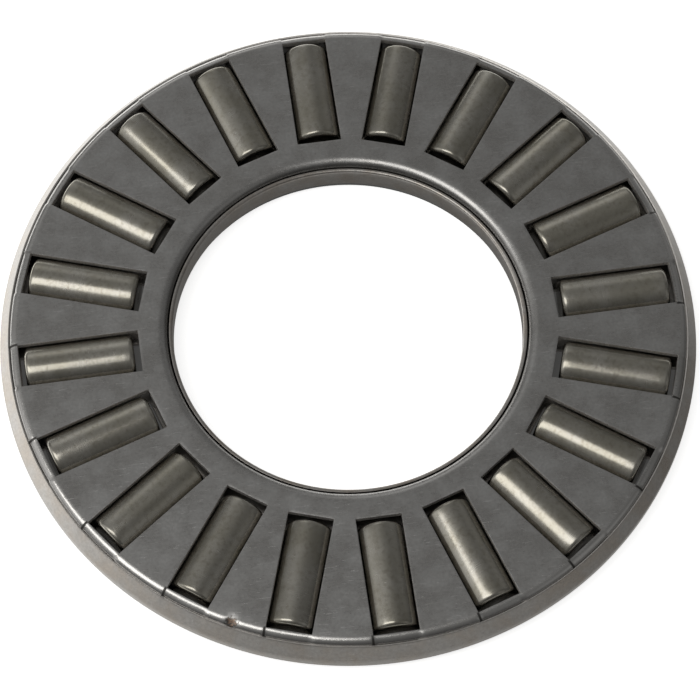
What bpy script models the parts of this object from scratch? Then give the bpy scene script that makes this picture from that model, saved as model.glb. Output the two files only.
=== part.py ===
"""Thrust needle roller bearing: a ring of flat-ended steel rollers in a two-piece pressed cage.

The frame is in metres with +Z along the bearing's axis. The origin is on that axis, at the level of
the rollers' lowest lines, and roller_01 lies along +X. The upper cage half is a flat ring with a
radial window for each roller and two flanges that turn down. It nests in the lower half, whose
flanges turn up and whose outer lip is crimped inwards over it. Each roller turns about its own
radial axis.
"""

from math import cos, pi, radians, sin

import bmesh
import bpy
from mathutils import Matrix, Vector

MM = 0.001

# Driving dimensions
ROLLER_COUNT = 20
ROLLER_DIAMETER = 3.5 * MM
ROLLER_LENGTH = 7.8 * MM
ROLLER_EDGE = 0.22 * MM
PITCH_RADIUS = 19.3 * MM
CAGE_OUTER_RADIUS = 25.0 * MM
CAGE_BORE_RADIUS = 12.55 * MM
CAGE_HEIGHT = 2.6 * MM
SHEET = 0.43 * MM
BEND_RADIUS = 0.5 * MM
NEST_GAP = 0.07 * MM

# The lower half's flanges, as depths below the cage's upper face
INNER_RIM_DROP = 0.46 * MM
CRIMP_DROP = 1.43 * MM
LIP_DROP = 0.15 * MM
LIP_INNER_RADIUS = 24.22 * MM
LIP_EDGE = 0.15 * MM
LIP_EDGE_FALL = 0.06 * MM
LIP_NECK_DROP = 0.75 * MM
LIP_NECK_RADIUS = 24.44 * MM

# The upper half's outer flange stands inside the lip, which reaches in over its bend
UPPER_OUTER_RADIUS = 24.3 * MM
UPPER_OUTER_BEND = 0.65 * MM
UPPER_FLANGE_GAP = 0.12 * MM

# Windows, each a little narrower than a roller, so that the two halves keep it between them
WINDOW_INNER_RADIUS = 14.95 * MM
WINDOW_OUTER_RADIUS = 23.58 * MM
WINDOW_WIDTH = 3.35 * MM
CUTTER_MARGIN = 0.4 * MM

# Smoothness
RING_STEPS = 80
BEND_STEPS = 3
ROLLER_SIDES = 24
EDGE_STEPS = 2
SHARP_ANGLE = radians(35)

# Heights that follow from those above
ROLLER_AXIS_HEIGHT = ROLLER_DIAMETER / 2
CAGE_BOTTOM = ROLLER_AXIS_HEIGHT - CAGE_HEIGHT / 2
CAGE_TOP = ROLLER_AXIS_HEIGHT + CAGE_HEIGHT / 2
UPPER_INNER_RADIUS = CAGE_BORE_RADIUS + SHEET + NEST_GAP


def clear_scene():
    for obj in list(bpy.data.objects):
        bpy.data.objects.remove(obj)


def steel(name, colour, roughness):
    material = bpy.data.materials.new(name)
    material.use_nodes = True
    shader = material.node_tree.nodes["Principled BSDF"]
    shader.inputs["Base Color"].default_value = (*colour, 1.0)
    shader.inputs["Roughness"].default_value = roughness
    shader.inputs["Metallic"].default_value = 1.0
    return material


def arc(centre_radius, centre_height, radius, start, end):
    """Points (r, z) round a bend, with its angles in degrees counted from +r towards +z."""
    turn = (end - start) / BEND_STEPS
    angles = [radians(start + turn * step) for step in range(BEND_STEPS + 1)]
    return [(centre_radius + radius * cos(a), centre_height + radius * sin(a)) for a in angles]


def upper_profile():
    """The upper half's section: a channel open downwards."""
    flange_end = CAGE_BOTTOM + SHEET + UPPER_FLANGE_GAP
    outer_bend = (UPPER_OUTER_RADIUS - UPPER_OUTER_BEND, CAGE_TOP - UPPER_OUTER_BEND)
    inner_bend = (UPPER_INNER_RADIUS + BEND_RADIUS, CAGE_TOP - BEND_RADIUS)
    outside = (
        [(UPPER_OUTER_RADIUS, flange_end)]
        + arc(*outer_bend, UPPER_OUTER_BEND, 0, 90)
        + arc(*inner_bend, BEND_RADIUS, 90, 180)
        + [(UPPER_INNER_RADIUS, flange_end)]
    )
    inside = [
        (UPPER_INNER_RADIUS + SHEET, flange_end),
        (UPPER_INNER_RADIUS + SHEET, CAGE_TOP - SHEET),
        (UPPER_OUTER_RADIUS - SHEET, CAGE_TOP - SHEET),
        (UPPER_OUTER_RADIUS - SHEET, flange_end),
    ]
    return outside + inside


def lower_profile():
    """The lower half's section: a channel open upwards, its outer lip crimped inwards and thinned."""
    bend_height = CAGE_BOTTOM + BEND_RADIUS
    crimp_height = CAGE_TOP - CRIMP_DROP
    lip_height = CAGE_TOP - LIP_DROP
    rim_height = CAGE_TOP - INNER_RIM_DROP
    outside = (
        [(CAGE_BORE_RADIUS, rim_height)]
        + arc(CAGE_BORE_RADIUS + BEND_RADIUS, bend_height, BEND_RADIUS, 180, 270)
        + arc(CAGE_OUTER_RADIUS - BEND_RADIUS, bend_height, BEND_RADIUS, 270, 360)
        + [(CAGE_OUTER_RADIUS, crimp_height)]
    )
    lip = [
        (LIP_INNER_RADIUS + LIP_EDGE, lip_height),
        (LIP_INNER_RADIUS, lip_height - LIP_EDGE_FALL),
        (LIP_NECK_RADIUS, CAGE_TOP - LIP_NECK_DROP),
    ]
    inside = [
        (CAGE_OUTER_RADIUS - SHEET, crimp_height),
        (CAGE_OUTER_RADIUS - SHEET, CAGE_BOTTOM + SHEET),
        (CAGE_BORE_RADIUS + SHEET, CAGE_BOTTOM + SHEET),
        (CAGE_BORE_RADIUS + SHEET, rim_height),
    ]
    return outside + lip + inside


def window_profile(sheet_bottom, sheet_top):
    """The side of a window cutter, square to the sheet and standing out of it above and below."""
    bottom = sheet_bottom - CUTTER_MARGIN
    top = sheet_top + CUTTER_MARGIN
    return [
        (WINDOW_INNER_RADIUS, bottom),
        (WINDOW_OUTER_RADIUS, bottom),
        (WINDOW_OUTER_RADIUS, top),
        (WINDOW_INNER_RADIUS, top),
    ]


def mesh_of(bm, name):
    bmesh.ops.recalc_face_normals(bm, faces=bm.faces)
    mesh = bpy.data.meshes.new(name)
    bm.to_mesh(mesh)
    bm.free()
    return mesh


def add_object(name, mesh):
    obj = bpy.data.objects.new(name, mesh)
    bpy.context.scene.collection.objects.link(obj)
    return obj


def turned_ring(name, profile):
    """Turns a closed section, given as (r, z) points, round the bearing's axis."""
    bm = bmesh.new()
    points = [bm.verts.new((r, 0, z)) for r, z in profile]
    pairs = zip(points, points[1:] + points[:1])
    edges = [bm.edges.new(pair) for pair in pairs]
    bmesh.ops.spin(
        bm,
        geom=points + edges,
        cent=(0, 0, 0),
        axis=(0, 0, 1),
        angle=2 * pi,
        steps=RING_STEPS,
        use_merge=True,
    )
    return add_object(name, mesh_of(bm, name))


def roller_angles():
    return [2 * pi * index / ROLLER_COUNT for index in range(ROLLER_COUNT)]


def window_cutter(name, profile):
    """One block per roller, extruded from its side and turned to the roller's place."""
    bm = bmesh.new()
    for angle in roller_angles():
        side = bm.faces.new([bm.verts.new((r, -WINDOW_WIDTH / 2, z)) for r, z in profile])
        grown = bmesh.ops.extrude_face_region(bm, geom=[side])["geom"]
        far_side = [item for item in grown if isinstance(item, bmesh.types.BMVert)]
        bmesh.ops.translate(bm, verts=far_side, vec=(0, WINDOW_WIDTH, 0))
        block = list(side.verts) + far_side
        bmesh.ops.rotate(bm, verts=block, cent=(0, 0, 0), matrix=Matrix.Rotation(angle, 3, "Z"))
    cutter = add_object(name, mesh_of(bm, name))
    cutter.hide_render = True
    cutter.display_type = "WIRE"
    return cutter


def cut_windows(ring, cutter):
    cut = ring.modifiers.new("windows", "BOOLEAN")
    cut.operation = "DIFFERENCE"
    cut.solver = "EXACT"
    cut.object = cutter


def cage_half(name, profile, window_profile, material):
    ring = turned_ring(name, profile)
    ring.data.shade_smooth()
    ring.data.set_sharp_from_angle(angle=SHARP_ANGLE)
    ring.data.materials.append(material)
    cut_windows(ring, window_cutter(name + "_windows", window_profile))


def roller_mesh(material):
    """A cylinder along local X with rounded end edges, its ends flat."""
    bm = bmesh.new()
    bmesh.ops.create_cone(
        bm,
        cap_ends=True,
        segments=ROLLER_SIDES,
        radius1=ROLLER_DIAMETER / 2,
        radius2=ROLLER_DIAMETER / 2,
        depth=ROLLER_LENGTH,
        matrix=Matrix.Rotation(pi / 2, 4, "Y"),
    )
    rims = [edge for edge in bm.edges if edge.calc_face_angle() > pi / 4]
    bmesh.ops.bevel(
        bm,
        geom=rims,
        offset=ROLLER_EDGE,
        segments=EDGE_STEPS,
        profile=0.5,
        affect="EDGES",
    )
    mesh = mesh_of(bm, "roller")
    mesh.shade_smooth()
    mesh.set_sharp_from_angle(angle=SHARP_ANGLE)
    mesh.materials.append(material)
    return mesh


def add_rollers(material):
    """The rollers share one mesh, and each one's origin is on the axis that it turns about."""
    mesh = roller_mesh(material)
    for number, angle in enumerate(roller_angles(), start=1):
        roller = add_object(f"roller_{number:02d}", mesh)
        outwards = Vector((cos(angle), sin(angle), 0))
        roller.location = outwards * PITCH_RADIUS + Vector((0, 0, ROLLER_AXIS_HEIGHT))
        roller.rotation_euler = (0, 0, angle)


def main():
    clear_scene()
    upper_steel = steel("cage_upper_steel", (0.150, 0.152, 0.143), 0.34)
    lower_steel = steel("cage_lower_steel", (0.260, 0.255, 0.235), 0.30)
    roller_steel = steel("roller_steel", (0.200, 0.195, 0.175), 0.18)
    upper_windows = window_profile(CAGE_TOP - SHEET, CAGE_TOP)
    lower_windows = window_profile(CAGE_BOTTOM, CAGE_BOTTOM + SHEET)
    cage_half("cage_upper_half", upper_profile(), upper_windows, upper_steel)
    cage_half("cage_lower_half", lower_profile(), lower_windows, lower_steel)
    add_rollers(roller_steel)


main()
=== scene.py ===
"""Looks of the thrust needle roller bearing: a two-piece pressed steel cage and its rollers.

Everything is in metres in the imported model's frame, with +Z along the bearing's axis. Each CAD node
is replaced by a finer mesh of the same piece. The cage halves are sheet skins with rounded bends and
punched windows, thickened to the sheet. Each roller is a turned shape with rounded end edges.
"""

from math import asin, atan2, cos, e, hypot, pi, radians, sin, sqrt

import bmesh
import bpy
from mathutils import Matrix, Vector, noise


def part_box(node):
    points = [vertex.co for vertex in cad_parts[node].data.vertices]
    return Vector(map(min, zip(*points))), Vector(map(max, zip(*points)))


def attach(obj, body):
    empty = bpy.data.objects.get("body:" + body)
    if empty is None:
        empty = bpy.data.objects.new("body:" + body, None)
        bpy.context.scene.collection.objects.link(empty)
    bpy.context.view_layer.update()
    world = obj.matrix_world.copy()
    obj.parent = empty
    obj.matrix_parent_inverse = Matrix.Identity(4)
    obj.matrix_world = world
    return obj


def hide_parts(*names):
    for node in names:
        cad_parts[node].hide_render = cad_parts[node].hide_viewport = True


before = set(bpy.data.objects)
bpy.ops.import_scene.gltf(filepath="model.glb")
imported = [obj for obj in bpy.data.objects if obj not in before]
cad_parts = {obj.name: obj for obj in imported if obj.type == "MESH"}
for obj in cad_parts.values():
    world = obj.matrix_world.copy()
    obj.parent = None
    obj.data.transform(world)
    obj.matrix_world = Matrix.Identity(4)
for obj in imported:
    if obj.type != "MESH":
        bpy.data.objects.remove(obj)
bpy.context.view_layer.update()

MM = 0.001
UP = Vector((0, 0, 1))

# ---------------------------------------------------------------- sizes, the same as in the CAD model
ROLLER_COUNT = 20
PITCH_RADIUS = 19.3 * MM
SHEET = 0.43 * MM
BEND_RADIUS = 0.5 * MM
BORE_RADIUS = 12.55 * MM
RIM_DROP = 0.46 * MM
CRIMP_DROP = 1.43 * MM
UPPER_OUTER_RADIUS = 24.3 * MM
UPPER_OUTER_BEND = 0.65 * MM
WINDOW_INNER_RADIUS = 14.95 * MM
WINDOW_OUTER_RADIUS = 23.58 * MM

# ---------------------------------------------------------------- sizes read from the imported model
# The outermost surfaces stay inside the CAD model's box by this much.
MARGIN = 0.004 * MM
UPPER_LOW, UPPER_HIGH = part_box("cage_upper_half")
LOWER_LOW, LOWER_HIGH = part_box("cage_lower_half")
ROLLER_LOW, ROLLER_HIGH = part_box("roller_01")
CAGE_TOP = UPPER_HIGH[2]
CAGE_BOTTOM = LOWER_LOW[2]
FLANGE_END = UPPER_LOW[2]
OUTER_RADIUS = LOWER_HIGH[0] - MARGIN
ROLLER_RADIUS = (ROLLER_HIGH[2] - ROLLER_LOW[2]) / 2 - MARGIN
ROLLER_LENGTH = ROLLER_HIGH[0] - ROLLER_LOW[0]
ROLLER_AXIS_HEIGHT = (ROLLER_HIGH[2] + ROLLER_LOW[2]) / 2

# ---------------------------------------------------------------- sizes a little off the CAD model's
WINDOW_WIDTH = 3.24 * MM
LIP_DROP = 0.25 * MM
LIP_RADIUS = 24.305 * MM
UPPER_INNER_RADIUS = 12.86 * MM
UPPER_INNER_BEND = 0.78 * MM

# The lower half's bore flange is thinner than the sheet, and its rim is rounded.
BORE_SHEET = 0.28 * MM
RIM_ROUND = 0.2 * MM
RIM_THICKNESS = 0.15 * MM

# The lip thins upwards by this share of the sheet, and is at its thinnest 1 / rate of the way up.
LIP_THINNING = 0.72
LIP_THINNING_RATE = 1.6

# The groove that the crimping left round the outer wall, where the lip begins
GROOVE_WIDTH = 0.11 * MM
GROOVE_DEPTH = 0.06 * MM

# How far the rim is pressed in over each window, the width of the step beside it, and the lip's part
PRESS_IN = 0.02 * MM
PRESS_DOWN = 0.04 * MM
STEP_WIDTH = 0.09 * MM
LIP_PRESS_SHARE = 0.35

# The slow unevenness of the pressed face and of the lip
FACE_WAVE_SIZE = 4.5 * MM
FACE_WAVE_HEIGHT = 0.005 * MM
LIP_WAVE_SIZE = 2.5 * MM
LIP_WAVE_DEPTH = 0.012 * MM

# How far each half's cut edges are rounded
UPPER_EDGE_ROUND = 0.12 * MM
LOWER_EDGE_ROUND = 0.02 * MM

# Roller details
ROLLER_EDGE = 0.34 * MM
CROWN_DROP = 0.006 * MM
CROWN_START = 0.55
DIMPLE_RADIUS = 0.55 * MM
DIMPLE_DEPTH = 0.05 * MM

# Lengths that differ by less than this count as the same.
TOLERANCE = 0.004 * MM

# ---------------------------------------------------------------- mesh fineness
WEB_COLUMNS = 9
WINDOW_COLUMNS = 12
LIP_ROWS = 8
ROLLER_SIDES = 96
ROLLER_BODY_STEPS = 8
SHADE_SIDES = 160
SHEET_SMOOTH_ANGLE = radians(40)
ROLLER_SMOOTH_ANGLE = radians(35)
BEVEL_ANGLE = radians(50)

# ---------------------------------------------------------------- sizes that follow from those above
HALF_SECTOR = pi / ROLLER_COUNT
HALF_WINDOW = WINDOW_WIDTH / 2
CORNER_INNER = hypot(WINDOW_INNER_RADIUS, HALF_WINDOW)
CORNER_OUTER = hypot(WINDOW_OUTER_RADIUS, HALF_WINDOW)
PRESS_START = CORNER_OUTER + 0.05 * MM
PRESS_LENGTH = UPPER_OUTER_BEND / 2
LIP_START = CAGE_TOP - CRIMP_DROP
LIP_END = CAGE_TOP - LIP_DROP
RIM_TOP = CAGE_TOP - RIM_DROP

# ---------------------------------------------------------------- the view
# The camera looks from the front with roller_01 turned a little to the right-hand rear.
TURN = radians(-8.1)
CAMERA_ELEVATION = radians(64.5)
CAMERA_DISTANCE = 219.9 * MM
LENS = 158.3
SENSOR_WIDTH = 36
NEAREST_SEEN = 0.01
FARTHEST_SEEN = 10
AIM_RIGHT = 0.13 * MM
AIM_DOWN = 1.88 * MM

# ---------------------------------------------------------------- the knock on the outer bend
KNOCK_ANGLE = radians(250.5) + TURN
KNOCK_RADIUS = UPPER_OUTER_RADIUS - 0.3 * MM
KNOCK_PLACE = (KNOCK_RADIUS * cos(KNOCK_ANGLE), KNOCK_RADIUS * sin(KNOCK_ANGLE), CAGE_TOP)
KNOCK_REACH = 0.55 * MM
KNOCK_DEPTH = 0.17 * MM

# ---------------------------------------------------------------- the light
# Each glow of the room: its direction in the camera's view, how narrow it is, and its brightness.
# The broad one fills the room from above, and the others are soft windows and lamps around it.
ROOM_DARK = 0.067
ROOM_GLOWS = (
    ((-0.92, 0.00, 0.39), 20, 0.70),
    ((-0.49, 0.20, 0.85), 1.8, 0.29),
    ((-0.46, -0.25, 0.85), 9.0, 0.30),
    ((-0.21, 0.83, 0.50), 27, 0.62),
    ((0.03, 1.00, 0.09), 78, 0.28),
    ((0.79, -0.37, 0.49), 16, 0.24),
    ((0.66, 0.66, 0.37), 14, 0.15),
)

# What the table around the bearing reflects back, seen below the horizon. The last glow darkens it.
TABLE_DARK = 0.27
TABLE_GLOWS = (
    ((-0.95, 0.20, -0.25), 2.5, 1.6),
    ((-0.15, 0.92, -0.33), 3.5, 1.35),
    ((0.20, -0.95, -0.25), 4.0, 0.3),
    ((0.90, 0.43, -0.12), 9.0, -0.25),
)

# The upward slopes of sight between which the table gives way to the room
HORIZON = (-0.04, 0.10)
ROOM_COLOUR = (1.0, 0.995, 0.97, 1.0)

SOFTBOX_TOWARDS = (-0.42, -0.23, 0.88)
SOFTBOX_DISTANCE = 0.25
SOFTBOX_SIZE = (0.22, 0.12)
SOFTBOX_RADIANCE = 2.2
SOFTBOX_COLOUR = (1.0, 0.985, 0.95)

# ---------------------------------------------------------------- the table
FLOOR_HALF_SIDE = 1.5
FLOOR_HEIGHT = -0.02 * MM
FLOOR_GLOW = (1.0, 1.0, 1.0, 1.0)
FLOOR_GLOW_STRENGTH = 0.75

# Rings of the table that stand for the bearing's shadow, each with the light that is left there
SHADE_HEIGHT = -0.005 * MM
SHADE_GLOW = (1.0, 0.99, 0.96, 1.0)
SHADE_EDGE = BORE_RADIUS + 0.3 * MM
CAGE_SHADE = (SHADE_EDGE, PITCH_RADIUS, OUTER_RADIUS - 0.4 * MM)
CAGE_SHADE_STRENGTH = 0.045
BORE_SHADE = (SHADE_EDGE - 2.3 * MM, SHADE_EDGE - 1.2 * MM, SHADE_EDGE)
BORE_SHADE_STRENGTH = 0.17


def turned(direction):
    """A direction given as (right, away, up) in the camera's view, in the model's frame."""
    return Matrix.Rotation(TURN, 3, "Z") @ Vector(direction)


def clamped(value):
    return max(0.0, min(1.0, value))


# ---------------------------------------------------------------- mesh helpers
def mesh_of(name, bm):
    bmesh.ops.recalc_face_normals(bm, faces=bm.faces)
    mesh = bpy.data.meshes.new(name)
    bm.to_mesh(mesh)
    bm.free()
    return mesh


def add_object(name, data):
    obj = bpy.data.objects.new(name, data)
    bpy.context.scene.collection.objects.link(obj)
    return obj


def face_outwards(obj, outwards):
    """Turns a skin's faces so that its widest flat one looks the given way."""
    widest = max(obj.data.polygons, key=lambda face: abs(face.normal.dot(outwards)) * face.area)
    if widest.normal.dot(outwards) < 0:
        obj.data.flip_normals()


def smooth(obj, angle):
    obj.data.shade_smooth()
    obj.data.set_sharp_from_angle(angle=angle)


def full_turn(steps):
    return [2 * pi * step / steps for step in range(steps)]


def join_rings(bm, rings, sides):
    """Faces between neighbouring rings of points, any of which may be a single point."""
    for ring, following in zip(rings, rings[1:]):
        for side in range(sides):
            after = (side + 1) % sides
            corners = (
                ring[side % len(ring)],
                ring[after % len(ring)],
                following[after % len(following)],
                following[side % len(following)],
            )
            bm.faces.new(list(dict.fromkeys(corners)))


def bend(centre, radius, angles):
    """Points of a bend at the given angles, in degrees from the first axis towards the second."""
    return [
        (centre[0] + radius * cos(radians(angle)), centre[1] + radius * sin(radians(angle)))
        for angle in angles
    ]


def between(start, end, steps):
    """Points from start to end, without start itself."""
    return [
        tuple(a + (b - a) * step / steps for a, b in zip(start, end))
        for step in range(1, steps + 1)
    ]


# ---------------------------------------------------------------- the pressed sheet
def column_angles(radius):
    """Angles of the columns of one sector at this radius, from its window's middle line.

    The columns inside the window, and its two edges, run parallel to the roller.
    """
    edge = asin((HALF_WINDOW + STEP_WIDTH) / radius)
    steps = WEB_COLUMNS - 1
    web = [edge + (HALF_SECTOR - edge) * step / steps for step in range(steps)]
    across = [
        asin(HALF_WINDOW * (2 * step / WINDOW_COLUMNS - 1) / radius)
        for step in range(WINDOW_COLUMNS + 1)
    ]
    return [-HALF_SECTOR] + [-angle for angle in reversed(web)] + across + web


def pressed_skin(rows, cut, deform):
    """The outer face of a pressed ring, with its windows left out.

    rows are (r, z) along the section. cut holds the first and the last row of the windows, and both
    are straight across them. deform moves each finished point a little.
    """
    first, last = cut
    bm = bmesh.new()
    grid = []
    for index, (radius, height) in enumerate(rows):
        line = []
        for sector in range(ROLLER_COUNT):
            middle = 2 * HALF_SECTOR * sector
            for angle in column_angles(radius):
                reach = radius
                inside = abs(radius * sin(angle)) < HALF_WINDOW + TOLERANCE
                if index in cut and inside:
                    reach = sqrt(radius**2 - HALF_WINDOW**2) / cos(angle)
                place = Vector((reach * cos(middle + angle), reach * sin(middle + angle), height))
                line.append(bm.verts.new(deform(place, index)))
        grid.append(line)
    count = len(grid[0])
    per_sector = count // ROLLER_COUNT
    window = range(WEB_COLUMNS, WEB_COLUMNS + WINDOW_COLUMNS)
    for index in range(len(rows) - 1):
        for column in range(count):
            if first <= index < last and column % per_sector in window:
                continue
            after = (column + 1) % count
            corners = (
                grid[index][column],
                grid[index][after],
                grid[index + 1][after],
                grid[index + 1][column],
            )
            bm.faces.new(corners)
    bmesh.ops.delete(bm, geom=[vert for vert in bm.verts if not vert.link_faces], context="VERTS")
    return bm


def thicken(obj, edge_width):
    """Gives a skin its sheet thickness behind it, and rounds its cut edges."""
    sheet = obj.modifiers.new("sheet", "SOLIDIFY")
    sheet.thickness = SHEET
    sheet.offset = -1
    sheet.use_even_offset = True
    sheet.material_offset_rim = 1
    edges = obj.modifiers.new("edges", "BEVEL")
    edges.width = edge_width
    edges.segments = 3
    edges.limit_method = "ANGLE"
    edges.angle_limit = BEVEL_ANGLE
    edges.use_clamp_overlap = True
    edges.harden_normals = False


def upper_rows():
    """Section of the upper half's outer face, from the bore flange's end to the outer one's."""
    inner = (UPPER_INNER_RADIUS + UPPER_INNER_BEND, CAGE_TOP - UPPER_INNER_BEND)
    outer = (UPPER_OUTER_RADIUS - UPPER_OUTER_BEND, CAGE_TOP - UPPER_OUTER_BEND)
    rows = [(UPPER_INNER_RADIUS, FLANGE_END)]
    rows += between(rows[-1], (UPPER_INNER_RADIUS, inner[1]), steps=3)
    rows += bend(inner, UPPER_INNER_BEND, range(172, 89, -8))
    rows += between(rows[-1], (CORNER_INNER, CAGE_TOP), steps=5)
    first = len(rows) - 1
    rows += between(rows[-1], (CORNER_OUTER, CAGE_TOP), steps=16)
    last = len(rows) - 1
    rows += bend(outer, UPPER_OUTER_BEND, range(82, -1, -8))
    rows += between(rows[-1], (UPPER_OUTER_RADIUS, FLANGE_END), steps=3)
    return rows, (first, last)


def lower_rows():
    """Section of the lower half's outer face, from the bore flange's rim to the crimped lip."""
    rim = (BORE_RADIUS + RIM_ROUND, RIM_TOP - RIM_ROUND)
    inner = (BORE_RADIUS + BEND_RADIUS, CAGE_BOTTOM + BEND_RADIUS)
    outer = (OUTER_RADIUS - BEND_RADIUS, CAGE_BOTTOM + BEND_RADIUS)
    rows = [(BORE_RADIUS + BORE_SHEET, RIM_TOP)]
    rows += bend(rim, RIM_ROUND, range(90, 181, 15))
    rows += between(rows[-1], (BORE_RADIUS, inner[1]), steps=5)
    rows += bend(inner, BEND_RADIUS, range(190, 271, 10))
    rows += between(rows[-1], (CORNER_INNER, CAGE_BOTTOM), steps=5)
    first = len(rows) - 1
    rows += between(rows[-1], (CORNER_OUTER, CAGE_BOTTOM), steps=14)
    last = len(rows) - 1
    rows += between(rows[-1], (outer[0], CAGE_BOTTOM), steps=3)
    rows += bend(outer, BEND_RADIUS, range(280, 361, 10))
    rows += between(rows[-1], (OUTER_RADIUS, LIP_START - GROOVE_WIDTH), steps=3)
    rows.append((OUTER_RADIUS - GROOVE_DEPTH, LIP_START))
    rows.append((OUTER_RADIUS - GROOVE_DEPTH / 2, LIP_START + GROOVE_WIDTH))
    rows += between(rows[-1], (LIP_RADIUS, LIP_END), steps=LIP_ROWS)
    return rows, (first, last)


def over_window(place):
    """1 over a window, 0 between windows, falling within the width of one step."""
    angle = atan2(place.y, place.x) % (2 * HALF_SECTOR)
    across = place.xy.length * sin(min(angle, 2 * HALF_SECTOR - angle))
    return clamped((HALF_WINDOW + STEP_WIDTH - across) / STEP_WIDTH)


def away_from_axis(place):
    return Vector((place.x, place.y, 0)).normalized()


def pressed_in(place, share):
    """The crimping tool drove the rim in further over the windows, where the sheet under it is cut."""
    return (-away_from_axis(place) * PRESS_IN - UP * PRESS_DOWN) * share


def knock_weight(place):
    """1 at the small knock on the outer bend, falling smoothly to 0 around it."""
    near = max(0.0, 1 - (place - Vector(KNOCK_PLACE)).length / KNOCK_REACH)
    return near * near * (3 - 2 * near)


def upper_deform(place, index):
    """Where a point of the upper half ends up, whichever its row: uneven, pressed in and knocked."""
    moved = place + UP * (noise.noise(place / FACE_WAVE_SIZE) * FACE_WAVE_HEIGHT)
    bent = clamped((place.xy.length - PRESS_START) / PRESS_LENGTH)
    moved += pressed_in(place, bent * over_window(place))
    return moved - UP * KNOCK_DEPTH * knock_weight(place)


def lower_deform(last_row):
    """Makes the lower half's deform, which leaves everything but the lip as it is."""

    def deform(place, index):
        into_lip = max(0.0, 1 - (last_row - index) / LIP_ROWS)
        uneven = abs(noise.noise(place / LIP_WAVE_SIZE) * LIP_WAVE_DEPTH)
        pressed = pressed_in(place, LIP_PRESS_SHARE * into_lip * over_window(place))
        return place + pressed - away_from_axis(place) * (uneven * into_lip)

    return deform


def lower_thickness(place):
    """The lower half's thickness at this point, as a share of the sheet's."""
    if place.xy.length > PITCH_RADIUS:
        up = (place.z - LIP_START) / (LIP_END - LIP_START)
        return 1 - LIP_THINNING * clamped(up * LIP_THINNING_RATE)
    if place.z > RIM_TOP - RIM_ROUND - TOLERANCE:
        return RIM_THICKNESS / SHEET
    if place.xy.length < BORE_RADIUS + TOLERANCE:
        return BORE_SHEET / SHEET
    return 1.0


def cage_sheet(name, section, deform, outwards, materials):
    """A cage half's skin, smooth, with its face material and its edge material."""
    sheet = add_object(name, mesh_of(name, pressed_skin(*section, deform)))
    face_outwards(sheet, outwards)
    smooth(sheet, SHEET_SMOOTH_ANGLE)
    for material in materials:
        sheet.data.materials.append(material)
    return sheet


def make_upper_half(materials):
    sheet = cage_sheet("upper_cage_sheet", upper_rows(), upper_deform, UP, materials)
    thicken(sheet, UPPER_EDGE_ROUND)
    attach(sheet, "cage")
    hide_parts("cage_upper_half")


def make_lower_half(materials):
    rows, cut = lower_rows()
    deform = lower_deform(len(rows) - 1)
    sheet = cage_sheet("lower_cage_sheet", (rows, cut), deform, -UP, materials)
    thickness = sheet.vertex_groups.new(name="thickness")
    for vertex in sheet.data.vertices:
        thickness.add([vertex.index], lower_thickness(vertex.co), "REPLACE")
    thicken(sheet, LOWER_EDGE_ROUND)
    sheet.modifiers["sheet"].vertex_group = "thickness"
    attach(sheet, "cage")
    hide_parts("cage_lower_half")


# ---------------------------------------------------------------- rollers
# The end dimple's section from its middle outwards, as shares of its radius and its depth
DIMPLE_SECTION = ((0.0, 1.0), (0.5, 0.75), (0.86, 0.2), (1.05, 0.0))

# A ring of points on the flat of the end face, as a share of the flat's radius
FACE_RING = 0.8

# How far apart two rollers' places in the noise are, so that no two have the same marks
SEED_STEP = 7.31


def roller_half_profile():
    """(distance from the middle, radius) from the end face's centre to the roller's middle."""
    half = ROLLER_LENGTH / 2
    flat = ROLLER_RADIUS - CROWN_DROP - ROLLER_EDGE
    points = [(half - DIMPLE_DEPTH * deep, DIMPLE_RADIUS * out) for out, deep in DIMPLE_SECTION]
    points.append((half, flat * FACE_RING))
    points += bend((half - ROLLER_EDGE, flat), ROLLER_EDGE, range(0, 91, 15))
    length = half - ROLLER_EDGE
    for step in range(1, ROLLER_BODY_STEPS + 1):
        along = length * (1 - step / ROLLER_BODY_STEPS)
        towards_end = max(0.0, (along / length - CROWN_START) / (1 - CROWN_START))
        points.append((along, ROLLER_RADIUS - CROWN_DROP * towards_end**2))
    return points


def roller_mesh(name, seed):
    """One roller along +X, with a number of its own that shifts its surface marks."""
    half = roller_half_profile()
    profile = half + [(-along, radius) for along, radius in reversed(half[:-1])]
    bm = bmesh.new()
    rings = []
    for along, radius in profile:
        turns = full_turn(ROLLER_SIDES) if radius else [0.0]
        rings.append([bm.verts.new((along, radius * cos(a), radius * sin(a))) for a in turns])
    join_rings(bm, rings, ROLLER_SIDES)
    mesh = mesh_of(name, bm)
    marks = mesh.attributes.new("marks", "FLOAT", "POINT")
    marks.data.foreach_set("value", [seed] * len(mesh.vertices))
    return mesh


def make_rollers(material):
    for number in range(1, ROLLER_COUNT + 1):
        name = f"roller_{number:02d}"
        angle = 2 * HALF_SECTOR * (number - 1)
        mesh = roller_mesh(f"turned_{name}", number * SEED_STEP)
        roller = add_object(f"turned_{name}", mesh)
        smooth(roller, ROLLER_SMOOTH_ANGLE)
        place = (PITCH_RADIUS * cos(angle), PITCH_RADIUS * sin(angle), ROLLER_AXIS_HEIGHT)
        roller.matrix_world = Matrix.Translation(place) @ Matrix.Rotation(angle, 4, "Z")
        mesh.materials.append(material)
        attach(roller, name)
        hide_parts(name)


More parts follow.
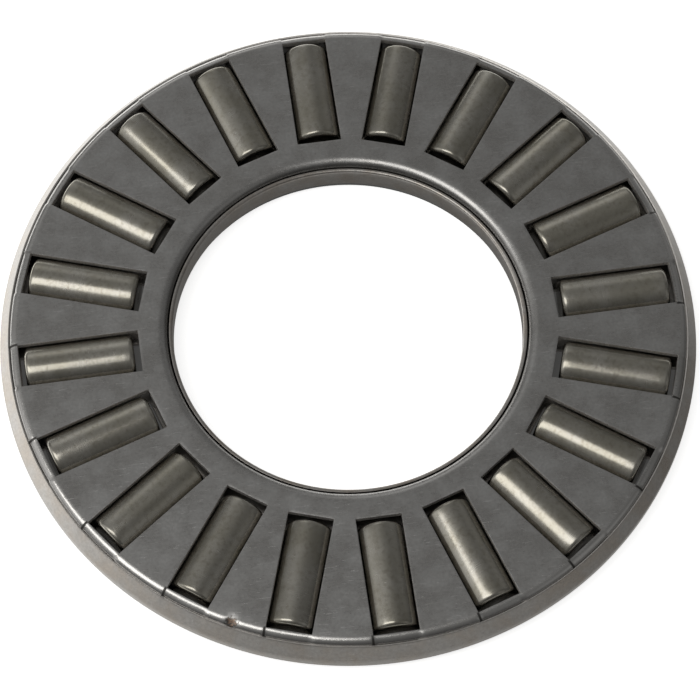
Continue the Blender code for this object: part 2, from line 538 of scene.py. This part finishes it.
# ---------------------------------------------------------------- node helpers
class Nodes:
    """Short ways to add nodes to a node tree."""

    def __init__(self, tree):
        self.tree = tree

    def node(self, kind, links=(), **settings):
        """A node with its settings, and its inputs' sockets or values by name or number."""
        made = self.tree.nodes.new(kind)
        for key, value in settings.items():
            setattr(made, key, value)
        for key, value in dict(links).items():
            if isinstance(value, bpy.types.NodeSocket):
                self.tree.links.new(value, made.inputs[key])
            else:
                made.inputs[key].default_value = value
        return made

    def math(self, operation, *values):
        made = self.node("ShaderNodeMath", dict(enumerate(values)), operation=operation)
        return made.outputs[0]

    def vector(self, operation, *values):
        """The outputs of a vector operation: "Vector", or "Value" where it gives a number."""
        made = self.node("ShaderNodeVectorMath", dict(enumerate(values)), operation=operation)
        return made.outputs

    def ranged(self, value, low, high, out_low=0.0, out_high=1.0):
        """value from low..high made out_low..out_high, smoothly."""
        links = {
            "Value": value,
            "From Min": low,
            "From Max": high,
            "To Min": out_low,
            "To Max": out_high,
        }
        made = self.node("ShaderNodeMapRange", links, interpolation_type="SMOOTHSTEP")
        return made.outputs["Result"]


class Shader(Nodes):
    """A Principled material. fixed holds values that are the same all over its surface."""

    def __init__(self, name, metallic=1.0, fixed=()):
        self.material = bpy.data.materials.new(name)
        self.material.use_nodes = True
        super().__init__(self.material.node_tree)
        self.surface = self.tree.nodes["Principled BSDF"]
        self.surface.inputs["Metallic"].default_value = metallic
        for key, value in dict(fixed).items():
            self.surface.inputs[key].default_value = value
        self.object = self.node("ShaderNodeTexCoord").outputs["Object"]

    def coordinate(self, axis):
        """The object's own X, Y or Z, in metres."""
        return self.node("ShaderNodeSeparateXYZ", {0: self.object}).outputs[axis]

    def millimetres(self, scale=(1, 1, 1), turn=0.0):
        """Object coordinates counted in millimetres, stretched and turned about Z."""
        size = tuple(value / MM for value in scale)
        links = {"Vector": self.object, "Scale": size, "Rotation": (0, 0, turn)}
        return self.node("ShaderNodeMapping", links).outputs["Vector"]

    def from_axis(self):
        """Distance from the bearing's axis, in metres."""
        flat = self.vector("MULTIPLY", self.object, (1, 1, 0))["Vector"]
        return self.vector("LENGTH", flat)["Value"]

    def across_window(self, radius):
        """Distance sideways from the middle line of the nearest window, in metres."""
        angle = self.math("ARCTAN2", self.coordinate("Y"), self.coordinate("X"))
        local = self.math("WRAP", angle, HALF_SECTOR, -HALF_SECTOR)
        return self.math("MULTIPLY", self.math("SINE", local), radius)

    def noise(self, vector, scale, detail, roughness, seed=None):
        """Noise from 0 to 1. A seed gives the fourth coordinate of noise in four dimensions."""
        links = {"Vector": vector, "Scale": scale, "Detail": detail, "Roughness": roughness}
        if seed is None:
            return self.node("ShaderNodeTexNoise", links).outputs["Fac"]
        links["W"] = seed
        return self.node("ShaderNodeTexNoise", links, noise_dimensions="4D").outputs["Fac"]

    def mixed(self, factor, first, second):
        links = {0: factor, 6: first, 7: second}
        return self.node("ShaderNodeMix", links, data_type="RGBA").outputs[2]

    def over(self, colour, other, mask, share=1.0):
        """colour, with a share of the other colour over it where the mask is 1."""
        return self.mixed(self.math("MULTIPLY", mask, share), colour, other)

    def plus(self, value, mask, amount):
        """value, with the amount added where the mask is 1."""
        return self.math("ADD", value, self.math("MULTIPLY", mask, amount))

    def bump(self, height, distance, below=None):
        links = {"Height": height, "Distance": distance, "Strength": 1.0}
        if below is not None:
            links["Normal"] = below
        return self.node("ShaderNodeBump", links).outputs["Normal"]

    def finish(self, colour=None, roughness=None, normal=None):
        for key, value in (("Base Color", colour), ("Roughness", roughness), ("Normal", normal)):
            if value is not None:
                self.tree.links.new(value, self.surface.inputs[key])
        return self.material


# ---------------------------------------------------------------- materials
def grey(value, warm=0.0):
    """A grey with its red raised and its blue lowered by the share warm."""
    return (value * (1 + warm), value, value * (1 - warm), 1.0)


BURNISHED = grey(0.50, 0.02)
# Painted shade for the seams low on the bends
PAINTED_SEAM_SHADE = grey(0.13, 0.04)
# Painted shadow for the step beside each window
PAINTED_STEP_SHADOW = grey(0.035, 0.06)
KNOCK_DIRT = grey(0.05, 0.15)
KNOCK_RUST = (0.33, 0.22, 0.16, 1.0)
ROLLED_EDGE = grey(0.52, 0.03)
TORN_DARK = grey(0.60, 0.04)
TORN_LIGHT = grey(0.78, 0.03)
ROLLER_DARK = (0.305, 0.290, 0.248, 1.0)
ROLLER_LIGHT = (0.355, 0.342, 0.310, 1.0)
ROLLER_SPOT = (0.17, 0.150, 0.115, 1.0)

# How fine the noise is along X, Y and Z: marks are long where the number is small.
SCRATCH_STRETCH = (0.35, 9.0, 9.0)
SCRATCH_SOFTNESS = 0.035
ROLLING_STRETCH = (1.2, 16.0, 16.0)
TEARING_STRETCH = (9.0, 9.0, 2.0)
GRINDING_STRETCH = (14.0, 0.6, 0.6)


def scratches(shader, turn, seed, threshold):
    """Sparse thin straight marks along one direction, 0 to 1, fewer with a higher threshold."""
    stretched = shader.millimetres(SCRATCH_STRETCH, turn)
    shifted = shader.vector("ADD", stretched, (seed, seed * 1.7, 0))["Vector"]
    value = shader.noise(shifted, scale=1.6, detail=2.0, roughness=0.5)
    return shader.ranged(value, threshold, threshold + SCRATCH_SOFTNESS)


def sheet_steel(name, value, warm, rough):
    """Tumbled cold-rolled sheet: faint rolling grain, mottling, handling scratches and small pits.

    value is the steel's grey, warm its tint, and rough its roughness before all of that.
    """
    shader = Shader(name)
    flat = shader.millimetres()
    rolled = shader.millimetres(ROLLING_STRETCH, turn=0.5)
    mottle = shader.noise(flat, scale=0.55, detail=5.0, roughness=0.6)
    fine = shader.noise(flat, scale=4.6, detail=4.0, roughness=0.7)
    grain = shader.noise(rolled, scale=1.0, detail=3.0, roughness=0.6)
    pitting = shader.noise(flat, scale=5.5, detail=2.0, roughness=0.5)
    pits = shader.ranged(pitting, 0.70, 0.80)
    marks = shader.math(
        "MAXIMUM",
        scratches(shader, turn=0.4, seed=3.0, threshold=0.685),
        scratches(shader, turn=1.7, seed=11.0, threshold=0.69),
    )

    dark = grey(value * 0.90, warm * 2.0)
    light = grey(value * 1.09, warm * 0.6)
    colour = shader.mixed(shader.ranged(mottle, 0.3, 0.7), dark, light)
    dulled = shader.ranged(fine, 0.30, 0.70, 0.0, 0.45)
    colour = shader.mixed(dulled, colour, grey(value * 0.62, warm))
    colour = shader.over(colour, grey(value * 1.5, warm * 0.5), marks, share=0.45)
    colour = shader.over(colour, grey(value * 0.45, 0.12), pits, share=0.6)

    roughness = shader.ranged(mottle, 0.25, 0.75, rough - 0.04, rough + 0.05)
    roughness = shader.math("ADD", roughness, shader.ranged(grain, 0.3, 0.7, -0.035, 0.035))
    roughness = shader.plus(roughness, marks, -0.08)

    normal = shader.bump(grain, 0.0016 * MM)
    normal = shader.bump(fine, 0.0055 * MM, normal)
    normal = shader.bump(marks, 0.0015 * MM, normal)
    normal = shader.bump(shader.math("SUBTRACT", 1.0, pits), 0.003 * MM, normal)
    return shader, colour, roughness, normal


def burnish_mask(shader, radius):
    """Where the press tool and handling polished the sheet: the outer bend, and a little the inner."""
    outer = shader.ranged(radius, 23.6 * MM, 23.85 * MM)
    inner = shader.ranged(radius, 13.4 * MM, 13.7 * MM, 0.25, 0.0)
    return shader.math("MAXIMUM", outer, inner)


def painted_seam_shade_mask(shader, radius):
    """Painted shade low on the bends, in the seams against the lower half, less of it at the outer
    seam.
    """
    height = shader.coordinate("Z")
    low = shader.ranged(height, CAGE_TOP - 0.30 * MM, CAGE_TOP - 0.10 * MM, 0.75, 0.0)
    return shader.math("MULTIPLY", low, shader.ranged(radius, 13.6 * MM, 24.1 * MM, 1.0, 0.5))


def painted_step_shadow_mask(shader, radius):
    """Painted shadow in the step across the rim at one side of each window, fading towards +Y."""
    step = HALF_WINDOW + STEP_WIDTH * 0.6
    away = shader.math("ABSOLUTE", shader.math("ADD", shader.across_window(radius), step))
    crease = shader.ranged(away, 0.05 * MM, 0.13 * MM, 1.0, 0.0)
    crease = shader.math("MULTIPLY", crease, shader.ranged(radius, 23.5 * MM, 23.7 * MM, 0.0, 0.92))
    left = shader.ranged(shader.coordinate("Y"), 2 * MM, 15 * MM, 1.0, 0.15)
    return shader.math("MULTIPLY", crease, left)


def knock_masks(shader):
    """The knock's ring of dirt and the rust inside it, both with a ragged outline."""
    away = shader.vector("DISTANCE", shader.object, KNOCK_PLACE)["Value"]
    speckle = shader.noise(shader.millimetres(), scale=6.0, detail=4.0, roughness=0.7)
    ragged = shader.ranged(speckle, 0.35, 0.65, -0.12 * MM, 0.12 * MM)
    distance = shader.math("ADD", away, ragged)
    dirt = shader.ranged(distance, 0.36 * MM, 0.52 * MM, 0.85, 0.0)
    near = shader.ranged(distance, 0.16 * MM, 0.36 * MM, 1.0, 0.0)
    rust = shader.math("MULTIPLY", near, shader.ranged(speckle, 0.4, 0.6, 0.6, 0.95))
    return dirt, rust


def upper_material():
    """The upper half's sheet, with burnished bends, painted shade in its seams and creases, and the
    knock.
    """
    shader, colour, roughness, normal = sheet_steel("pressed_sheet_upper", 0.35, 0.012, 0.30)
    radius = shader.from_axis()
    burnished = burnish_mask(shader, radius)
    crease = painted_step_shadow_mask(shader, radius)
    knock_dirt, rust = knock_masks(shader)
    colour = shader.over(colour, BURNISHED, burnished, share=0.6)
    # Painted shade darkens the low part of the bends at the seams.
    colour = shader.over(colour, PAINTED_SEAM_SHADE, painted_seam_shade_mask(shader, radius))
    # Painted shadow in the step at one side of each window.
    colour = shader.over(colour, PAINTED_STEP_SHADOW, crease)
    colour = shader.over(colour, KNOCK_DIRT, knock_dirt)
    colour = shader.over(colour, KNOCK_RUST, rust)
    roughness = shader.plus(roughness, burnished, -0.10)
    roughness = shader.plus(roughness, crease, 0.3)
    roughness = shader.plus(roughness, rust, 0.2)
    return shader.finish(colour, roughness, normal)


def lower_material():
    shader, colour, roughness, normal = sheet_steel("pressed_sheet_lower", 0.36, 0.055, 0.33)
    return shader.finish(colour, roughness, normal)


def sheared_material():
    """The sheet's edges: torn, matt and brighter where a window was punched, smooth at the rims."""
    shader = Shader("sheared_edge")
    radius = shader.from_axis()
    from_bore = shader.ranged(radius, 13.6 * MM, 14.4 * MM)
    from_rim = shader.ranged(radius, 23.7 * MM, 24.0 * MM, 1.0, 0.45)
    punched = shader.math("MULTIPLY", from_bore, from_rim)
    across_sheet = shader.millimetres(TEARING_STRETCH)
    tearing = shader.noise(across_sheet, scale=1.0, detail=4.0, roughness=0.65)
    torn = shader.mixed(shader.ranged(tearing, 0.3, 0.7), TORN_DARK, TORN_LIGHT)
    colour = shader.mixed(punched, ROLLED_EDGE, torn)
    roughness = shader.math("ADD", shader.math("MULTIPLY", punched, 0.25), 0.34)
    return shader.finish(colour, roughness, shader.bump(tearing, 0.006 * MM))


def roller_material():
    """Hardened and ground: fine rings round the roller, a thin oil film and a few handling marks."""
    shader = Shader("ground_roller_steel")
    seed = shader.node("ShaderNodeAttribute", attribute_name="marks").outputs["Fac"]
    flat = shader.millimetres()
    rings = shader.millimetres(GRINDING_STRETCH)
    ground = shader.noise(rings, scale=1.0, detail=3.0, roughness=0.7, seed=seed)
    film = shader.noise(flat, scale=0.45, detail=4.0, roughness=0.6, seed=seed)
    spots = shader.noise(flat, scale=3.5, detail=3.0, roughness=0.6, seed=seed)
    colour = shader.mixed(shader.ranged(film, 0.35, 0.65), ROLLER_DARK, ROLLER_LIGHT)
    colour = shader.mixed(shader.ranged(spots, 0.45, 0.72, 0.0, 0.40), colour, ROLLER_SPOT)
    roughness = shader.ranged(film, 0.3, 0.7, 0.19, 0.26)
    roughness = shader.math("ADD", roughness, shader.ranged(ground, 0.3, 0.7, -0.02, 0.03))
    normal = shader.bump(ground, 0.0009 * MM)
    normal = shader.bump(spots, 0.0012 * MM, normal)
    return shader.finish(colour, roughness, normal)


def table_material(name, fixed, tone_scale, tones):
    """A matt surface that also shines by itself, with a slow change between two tones."""
    shader = Shader(name, metallic=0.0, fixed=fixed)
    tone = shader.noise(shader.millimetres(), scale=tone_scale, detail=3.0, roughness=0.5)
    return shader.finish(shader.mixed(tone, *tones))


# ---------------------------------------------------------------- studio
def make_floor():
    """A matt white table lit through from below, as a product photographer uses."""
    bm = bmesh.new()
    bmesh.ops.create_grid(bm, x_segments=8, y_segments=8, size=FLOOR_HALF_SIDE)
    floor = add_object("floor", mesh_of("floor", bm))
    face_outwards(floor, UP)
    floor.location.z = FLOOR_HEIGHT
    floor.visible_glossy = False
    fixed = {
        "Roughness": 0.7,
        "Specular IOR Level": 0.2,
        "Emission Color": FLOOR_GLOW,
        "Emission Strength": FLOOR_GLOW_STRENGTH,
    }
    material = table_material("pale_floor", fixed, 0.05, (grey(0.86), grey(0.89)))
    floor.data.materials.append(material)


def make_shade(name, radii, strength):
    """A ring of the table that the cage stands over or close to, which gets hardly any light."""
    bm = bmesh.new()
    rings = []
    for radius in radii:
        places = [(radius * cos(a), radius * sin(a), SHADE_HEIGHT) for a in full_turn(SHADE_SIDES)]
        rings.append([bm.verts.new(place) for place in places])
    join_rings(bm, rings, SHADE_SIDES)
    shade = add_object(name, mesh_of(name, bm))
    face_outwards(shade, UP)
    fixed = {
        "Roughness": 0.8,
        "Emission Color": SHADE_GLOW,
        "Emission Strength": strength,
    }
    shade.data.materials.append(table_material(name, fixed, 0.3, (grey(0.10), grey(0.14))))
    return shade


def make_shades():
    """One shade under the cage, and one just inside the bore that only reflections show."""
    make_shade("shaded_table", CAGE_SHADE, CAGE_SHADE_STRENGTH)
    reflected = make_shade("shaded_bore_table", BORE_SHADE, BORE_SHADE_STRENGTH)
    reflected.visible_camera = False
    reflected.visible_diffuse = False
    reflected.visible_shadow = False


def make_softbox():
    """The key light: a softbox close above and to the left, its long side leading away to the left."""
    width, height = SOFTBOX_SIZE
    lamp = bpy.data.lights.new("key_softbox", "AREA")
    lamp.shape = "RECTANGLE"
    lamp.size = width
    lamp.size_y = height
    lamp.energy = SOFTBOX_RADIANCE * pi * width * height
    lamp.color = SOFTBOX_COLOUR
    back = turned(SOFTBOX_TOWARDS).normalized()
    left = turned((-1, 0, 0))
    along = (left - back * back.dot(left)).normalized()
    axes = Matrix((along, back.cross(along), back)).transposed()
    softbox = add_object("key_softbox", lamp)
    softbox.matrix_world = Matrix.Translation(back * SOFTBOX_DISTANCE) @ axes.to_4x4()


def glows(nodes, direction, dark, listed):
    """The brightness of sight in this direction: dark, and every listed glow added to it."""
    total = dark
    for towards, narrowness, brightness in listed:
        facing = nodes.vector("DOT_PRODUCT", direction, turned(towards).normalized())["Value"]
        fall = nodes.math("MULTIPLY", nodes.math("SUBTRACT", facing, 1.0), narrowness)
        glow = nodes.math("MULTIPLY", nodes.math("POWER", e, fall), brightness)
        total = nodes.math("ADD", glow, total)
    return total


def make_room():
    """A dim studio room with soft glows, and under the horizon the table's own brightness."""
    world = bpy.data.worlds.new("studio")
    bpy.context.scene.world = world
    world.use_nodes = True
    nodes = Nodes(world.node_tree)
    direction = nodes.node("ShaderNodeTexCoord").outputs["Generated"]
    slope = nodes.node("ShaderNodeSeparateXYZ", {0: direction}).outputs["Z"]
    above = nodes.ranged(slope, *HORIZON)
    room = nodes.math("MULTIPLY", glows(nodes, direction, ROOM_DARK, ROOM_GLOWS), above)
    below = nodes.math("SUBTRACT", 1.0, above)
    table = nodes.math("MULTIPLY", glows(nodes, direction, TABLE_DARK, TABLE_GLOWS), below)
    background = nodes.tree.nodes["Background"]
    background.inputs["Color"].default_value = ROOM_COLOUR
    nodes.tree.links.new(nodes.math("ADD", room, table), background.inputs["Strength"])


def make_camera():
    camera = bpy.data.cameras.new("camera")
    camera.lens = LENS
    camera.sensor_width = SENSOR_WIDTH
    camera.clip_start = NEAREST_SEEN
    camera.clip_end = FARTHEST_SEEN
    back = turned((0, -cos(CAMERA_ELEVATION), sin(CAMERA_ELEVATION)))
    right = turned((1, 0, 0))
    up = back.cross(right)
    centre = Vector((0, 0, CAGE_TOP))
    seat = add_object("camera", camera)
    seat.location = centre + back * CAMERA_DISTANCE
    aim = centre + right * AIM_RIGHT - up * AIM_DOWN
    line = (aim - seat.location).normalized()
    side = line.cross(up).normalized()
    top = side.cross(line)
    seat.rotation_euler = Matrix((side, top, -line)).transposed().to_euler()
    bpy.context.scene.camera = seat


def main():
    bpy.context.scene.view_settings.view_transform = "Standard"
    make_camera()
    sheared = sheared_material()
    make_upper_half((upper_material(), sheared))
    make_lower_half((lower_material(), sheared))
    make_rollers(roller_material())
    make_floor()
    make_shades()
    make_softbox()
    make_room()


main()
